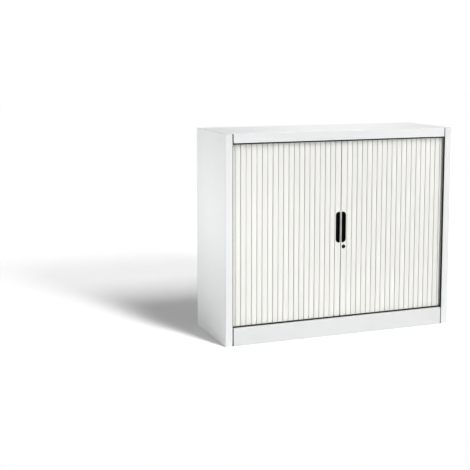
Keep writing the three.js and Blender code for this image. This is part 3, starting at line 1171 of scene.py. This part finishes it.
@dataclass
class LeadingStile:
    """The stile at the meeting line, with its grip cup and its two end caps."""

    side: Side
    wall: float = 1.6 * MM
    corner: float = 2.2 * MM
    corner_steps: int = 6
    edge: float = 0.15 * MM
    grip_inner_radius: float = 4.5 * MM
    grip_rim: float = 1.6 * MM
    grip_rim_thickness: float = 1.2 * MM
    grip_wall: float = 1.4 * MM
    grip_steps: int = 12
    lip_round: float = 0.5 * MM
    lock_bore: float = 6.8 * MM
    play: float = 0.3 * MM
    overrun: float = 5.0 * MM
    meeting_half: float = 1.5 * MM

    @property
    def body(self) -> str:
        """The body of this door."""
        return f"{self.side.label}_door"

    @property
    def box(self) -> Box:
        """The stile's box, drawn in a little at the meeting line.

        Returns:
            The box.
        """
        box = Box.of(f"{self.side.label}_stile")
        low, high = box.low.copy(), box.high.copy()
        if self.side is Side.RIGHT:
            low.x = self.meeting_half
        else:
            high.x = -self.meeting_half
        return Box(low, high)

    def build(self) -> None:
        """Builds stile, grip and caps."""
        self.build_tube()
        self.build_grip()
        for end in ("lower", "upper"):
            node = f"{self.side.label}_stile_{end}_cap"
            cap = Workpiece.copy_of(node, f"{node}_moulding")
            for vert in cap.bm.verts:
                vert.co.x = self.side.value * max(abs(vert.co.x), self.meeting_half)
            cap.done(SLAT, self.body, [node])

    def tube(self, name: str, box: Box, inset: float, reach: float) -> Workpiece:
        """Makes a bar with rounded long edges.

        Args:
            name: the piece's name.
            box: the stile's box.
            inset: how far the bar's sides lie inside that box.
            reach: how far its ends lie outside it.

        Returns:
            The bar.
        """
        bar = Workpiece(name)
        shift = Vector((inset, inset, -reach))
        bar.block(box.low + shift, box.high - shift)
        bar.bevel(bar.edges_along(Axis.Z), self.corner - inset, self.corner_steps)
        return bar

    def plate(self, name: str, box: Box, inset: float, front: float, back: float) -> Workpiece:
        """Makes a plate with the grip's outline: large rounds away from the meeting line.

        Args:
            name: the plate's name.
            box: the grip's box.
            inset: how far the outline is drawn in.
            front: Y of the plate's front.
            back: Y of its back.

        Returns:
            The plate.
        """
        plate = Workpiece(name)
        plate.block(
            Vector((box.low.x + inset, front, box.low.z + inset)),
            Vector((box.high.x - inset, back, box.high.z - inset)),
        )
        small = self.grip_inner_radius - inset
        large = box.size.x - 2 * inset - small - self.play
        corners = plate.edges_along(Axis.Y)
        outer = [
            edge for edge in corners if (edge.verts[0].co.x - box.centre.x) * self.side.value > 0
        ]
        inner = [edge for edge in corners if edge not in outer]
        plate.bevel(outer, large, self.grip_steps)
        plate.bevel(inner, small, self.grip_steps)
        return plate

    def build_tube(self) -> None:
        """Makes the stile's tube and cuts it for the grip and, on the right, for the lock."""
        node = f"{self.side.label}_stile"
        box = self.box
        stile = self.tube(f"{self.side.label}_stile_tube", box, 0.0, 0.0)
        stile.carve(self.tube("stile_bore", box, self.wall, self.overrun))
        grip = Box.of(f"{self.side.label}_grip")
        front, back = box.low.y - self.overrun, box.low.y + self.wall + self.overrun
        stile.carve(self.plate("grip_hole", grip, self.grip_rim - self.play, front, back))
        if self.side is Side.RIGHT:
            stile.carve(self.drill(box))
        stile.done(SLAT, self.body, [node], edge=self.edge)

    def drill(self, box: Box) -> Workpiece:
        """Makes the shape of the hole for the lock.

        Args:
            box: the stile's box.

        Returns:
            The shape to cut away.
        """
        nut = Box.of("lock_nut")
        reach = box.size.y + self.overrun
        profile = [(0.0, -reach), (self.lock_bore, -reach), (self.lock_bore, reach), (0.0, reach)]
        drill = Workpiece("lock_hole")
        drill.lathe(profile, Vector((nut.centre.x, box.centre.y, nut.centre.z)), Axis.Y)
        return drill

    def build_grip(self) -> None:
        """Makes the grip: a thin rim with a deep cup behind it."""
        node = f"{self.side.label}_grip"
        box = Box.of(node)
        front, behind = Vector((0.0, -1.0, 0.0)), Vector((0.0, 1.0, 0.0))
        rim_back = box.low.y + self.grip_rim_thickness
        grip = self.plate(f"{self.side.label}_grip_cup", box, 0.0, box.low.y, rim_back)
        grip.sink(grip.face_at(behind), self.grip_rim, behind * (box.high.y - rim_back))
        mouth = self.grip_rim + self.grip_wall
        grip.sink(grip.face_at(front), mouth, behind * (box.size.y - self.grip_wall))
        grip.done(BLACK, self.body, [node], edge=self.lip_round)


@dataclass
class Lock:
    """The lock in the right stile and its strike on the left one."""

    rosette_overlap: float = 2.5 * MM
    rosette_round: float = 0.7 * MM
    rosette_steps: int = 64
    plug_radius: float = 4.0 * MM
    plug_step: float = 1.0 * MM
    plug_bevel: float = 0.5 * MM
    turning_gap: float = 0.25 * MM
    keyway_width: float = 1.4 * MM
    keyway_depth: float = 4.0 * MM
    keyway_height: float = 5.6 * MM
    small_edge: float = 0.25 * MM

    def build(self) -> None:
        """Builds the pieces of the lock."""
        self.build_housing()
        self.build_plug()
        for node, body in (
            ("lock_nut", "right_door"),
            ("lock_cam", "lock"),
            ("lock_cam_nut", "lock"),
            ("strike_plate", "left_door"),
        ):
            piece = Workpiece.copy_of(node, f"{node}_plated")
            piece.done(ZINC, body, [node], edge=self.small_edge)

    def build_housing(self) -> None:
        """Turns the lock body with its rosette."""
        box = Box.of("lock_housing")
        nut = Box.of("lock_nut")
        rosette = box.size.x / 2
        shaft = rosette - self.rosette_overlap
        bore = self.plug_radius + self.turning_gap
        collar = Box.of("right_stile").low.y - box.low.y - self.turning_gap
        dish = self.rosette_round / 3
        housing = Workpiece("lock_body_turned")
        profile = [
            (bore, dish),
            (bore + self.rosette_round, 0.0),
            (rosette - 2 * self.rosette_round, 0.0),
            (rosette - self.rosette_round / 2, self.rosette_round / 2),
            (rosette, 2 * self.rosette_round),
            (rosette, collar),
            (shaft, collar),
            (shaft, box.size.y),
            (bore, box.size.y),
        ]
        centre = Vector((nut.centre.x, box.low.y, nut.centre.z))
        housing.lathe(profile, centre, Axis.Y, self.rosette_steps)
        housing.done(LACQUER, "right_door", ["lock_housing"], edge=self.small_edge / 2)

    def build_plug(self) -> None:
        """Turns the plug and cuts its keyway."""
        box = Box.of("lock_plug")
        cam = Box.of("lock_cam")
        centre = Vector((box.centre.x, box.low.y, box.centre.z))
        shoulder = cam.low.y - box.low.y - self.turning_gap
        end = self.plug_radius - self.plug_step
        plug = Workpiece("lock_plug_turned")
        profile = [
            (0.0, 0.0),
            (self.plug_radius - self.plug_bevel, 0.0),
            (self.plug_radius, self.plug_bevel),
            (self.plug_radius, shoulder),
            (end, shoulder),
            (end, box.size.y),
            (0.0, box.size.y),
        ]
        plug.lathe(profile, centre, Axis.Y)
        keyway = Workpiece("keyway")
        reach = Vector((self.keyway_width / 2, self.keyway_depth, self.keyway_height / 2))
        keyway.block(centre - reach, centre + reach)
        plug.carve(keyway)
        plug.done(LACQUER, "lock", ["lock_plug"], edge=self.small_edge / 2)


@dataclass
class LevellingFoot:
    """A levelling foot: a threaded spindle on a black pad."""

    corner: str
    pad_height: float = 8.0 * MM
    pad_round: float = 2.0 * MM
    pad_edge: float = 0.8 * MM
    pad_steps: int = 36
    spindle_radius: float = 5.0 * MM
    spindle_steps: int = 24
    thread_pitch: float = 1.5 * MM
    thread_depth: float = 0.75 * MM

    def build(self) -> None:
        """Builds pad and spindle."""
        node = f"levelling_foot_{self.corner}"
        box = Box.of(node)
        body = f"foot_{self.corner}"
        base = Vector((box.centre.x, box.centre.y, box.low.z))
        radius = box.size.x / 2
        rise = self.pad_height
        profile: list[Point] = [
            (0.0, 0.0),
            (radius - self.pad_round, 0.0),
            (radius, self.pad_round),
            (radius, rise / 2),
            (radius - 2 * self.pad_round, rise),
            (0.0, rise),
        ]
        pad = Workpiece(f"{node}_pad")
        pad.lathe(profile, base, Axis.Z, self.pad_steps)
        pad.done(BLACK, body, [node], edge=self.pad_edge)
        spindle = Workpiece(f"{node}_spindle")
        root = self.spindle_radius - self.thread_depth
        turns = int((box.size.z - rise) / self.thread_pitch)
        profile = [(0.0, rise)]
        for turn in range(turns):
            foot = rise + turn * self.thread_pitch
            profile += [(root, foot), (self.spindle_radius, foot + self.thread_pitch / 2)]
        top = rise + turns * self.thread_pitch
        profile += [(root, top), (0.0, top)]
        spindle.lathe(profile, base, Axis.Z, self.spindle_steps)
        spindle.done(ZINC, body, edge=0.0)


@dataclass(frozen=True)
class Lamp:
    """A distant soft lamp: its direction, its apparent size and its strength."""

    name: str
    azimuth: float
    elevation: float
    angle: float
    strength: float

    def build(self) -> None:
        """Hangs the lamp."""
        data = bpy.data.lights.new(self.name, "SUN")
        data.energy, data.angle = self.strength, math.radians(self.angle)
        lamp = add_object(self.name, data)
        lamp.rotation_euler = (math.radians(90 - self.elevation), 0.0, math.radians(self.azimuth))


@dataclass(frozen=True)
class Spot:
    """A soft spot: its place, the point it looks at, the width of its cone and its strength."""

    name: str
    place: Triple
    target: Triple
    cone: float
    strength: float
    size: float = 0.3

    def build(self) -> None:
        """Hangs the spot."""
        data = bpy.data.lights.new(self.name, "SPOT")
        data.energy, data.shadow_soft_size = self.strength, self.size
        data.spot_size, data.spot_blend = math.radians(self.cone), 1.0
        spot = add_object(self.name, data)
        spot.location = self.place
        aim = Vector(self.target) - Vector(self.place)
        spot.rotation_euler = aim.to_track_quat("-Z", "Y").to_euler()


@dataclass
class Studio:
    """Camera, lights, floor and surroundings."""

    image_width: float = 470.0
    sensor: float = 36.0
    focal_pixels: float = 965.6
    horizon_row: float = 165.0
    yaw: float = math.radians(20.53)
    pitch: float = math.radians(6.30)
    camera_from_corner: Triple = (-1.501, -4.131, 1.343)
    floor_size: float = 60.0
    floor_white: Colour = (0.94, 0.94, 0.94)
    lamps: tuple[Lamp, ...] = (
        Lamp("key_strip_1", 22, 28, 10, 0.836),
        Lamp("key_strip_2", 22, 44, 10, 0.543),
        Lamp("key_strip_3", 22, 52, 10, 0.663),
        Lamp("key_strip_4", 22, 60, 10, 0.707),
        Lamp("left_fill", -112, 3, 20, 1.35),
    )
    spots: tuple[Spot, ...] = (
        Spot("side_glow", (-3.75, 1.27, 0.9), (-0.6, 0.0, 0.62), 12.5, 120),
        Spot("post_glow", (-1.5, -4.0, 1.2), (-0.56, -0.2, 0.6), 9.5, 75),
        Spot("corner_glow", (2.0, -4.0, 1.6), (0.55, -0.21, 0.95), 12, 45),
    )
    ceiling: float = 0.448
    ceiling_rise: Span = (0.1, 0.5)
    backdrop: float = 1.5
    backdrop_dim: float = 0.55
    backdrop_rise: Span = (0.1, 0.45)
    backdrop_turn: Span = (0.0, 0.4)
    glow_start: Span = (0.3, 0.43)
    glow_end: Span = (0.45, 0.6)
    seen_white: float = 1.2
    contrast: float = 1.4

    def build(self) -> None:
        """Sets up the studio."""
        self.build_camera()
        for lamp in (*self.lamps, *self.spots):
            lamp.build()
        self.build_surroundings()
        self.build_floor()
        display = bpy.context.scene.view_settings
        display.view_transform = "Standard"
        display.gamma = 1.0 / self.contrast

    def build_camera(self) -> None:
        """Puts the camera where the photograph was taken from."""
        data = bpy.data.cameras.new("camera")
        data.sensor_width = self.sensor
        data.lens = self.focal_pixels * self.sensor / self.image_width
        data.shift_y = (self.horizon_row - self.image_width / 2) / self.image_width
        data.clip_end = self.floor_size
        camera = add_object("camera", data)
        corner = Vector((CAD_BOX[0].x, CAD_BOX[0].y, 0.0))
        camera.location = corner + Vector(self.camera_from_corner)
        camera.rotation_euler = (math.pi / 2 - self.pitch, 0.0, -self.yaw)
        bpy.context.scene.camera = camera

    def build_surroundings(self) -> None:
        """Lights the scene from a pale ceiling and a backdrop that glows, seen as plain white."""
        world = bpy.data.worlds.new("studio")
        bpy.context.scene.world = world
        world.use_nodes = True
        tree = NodeTree(world.node_tree)
        direction = tree.add("ShaderNodeTexCoord", output="Generated")
        sideways, backwards, upwards = (
            tree.add("ShaderNodeSeparateXYZ", {}, {0: direction}, name) for name in "XYZ"
        )
        ceiling = tree.rise(upwards, *self.ceiling_rise) * self.ceiling
        behind = tree.rise(backwards, *self.backdrop_turn)
        wall = (1.0 - tree.rise(upwards, *self.backdrop_rise)) * behind
        glow = tree.rise(sideways, *self.glow_start) * (1.0 - tree.rise(sideways, *self.glow_end))
        wall = wall * (self.backdrop_dim + glow * (1.0 - self.backdrop_dim))
        seen = tree.add("ShaderNodeLightPath", output="Is Camera Ray")
        light = (ceiling + wall * self.backdrop) * (1.0 - seen) + seen * self.seen_white
        sockets = {"Color": (*EVEN, 1.0), "Strength": light}
        shade = tree.add("ShaderNodeBackground", {}, sockets)
        tree.add("ShaderNodeOutputWorld", {}, {"Surface": shade}, None)

    def build_floor(self) -> None:
        """Lays a pale floor."""
        floor = Workpiece("studio_floor")
        bmesh.ops.create_grid(floor.bm, x_segments=2, y_segments=2, size=self.floor_size / 2)
        item = floor.loose()
        tree = ShaderTree("pale_floor")
        tree.surface(Base_Color=(*self.floor_white, 1.0), Roughness=1.0, Specular_IOR_Level=0.0)
        item.data.materials.append(tree.material)


def main() -> None:
    """Builds the studio and every sub-assembly of the cabinet."""
    logging.basicConfig(level=logging.INFO, format="%(name)s: %(message)s")
    Studio().build()
    Carcass().build()
    Shelving().build()
    Tracks().build()
    for side in Side:
        Curtain(side).build()
        LeadingStile(side).build()
    Lock().build()
    for corner in ("front_left", "front_right", "back_left", "back_right"):
        LevellingFoot(corner).build()


if __name__ == "__main__":
    main()
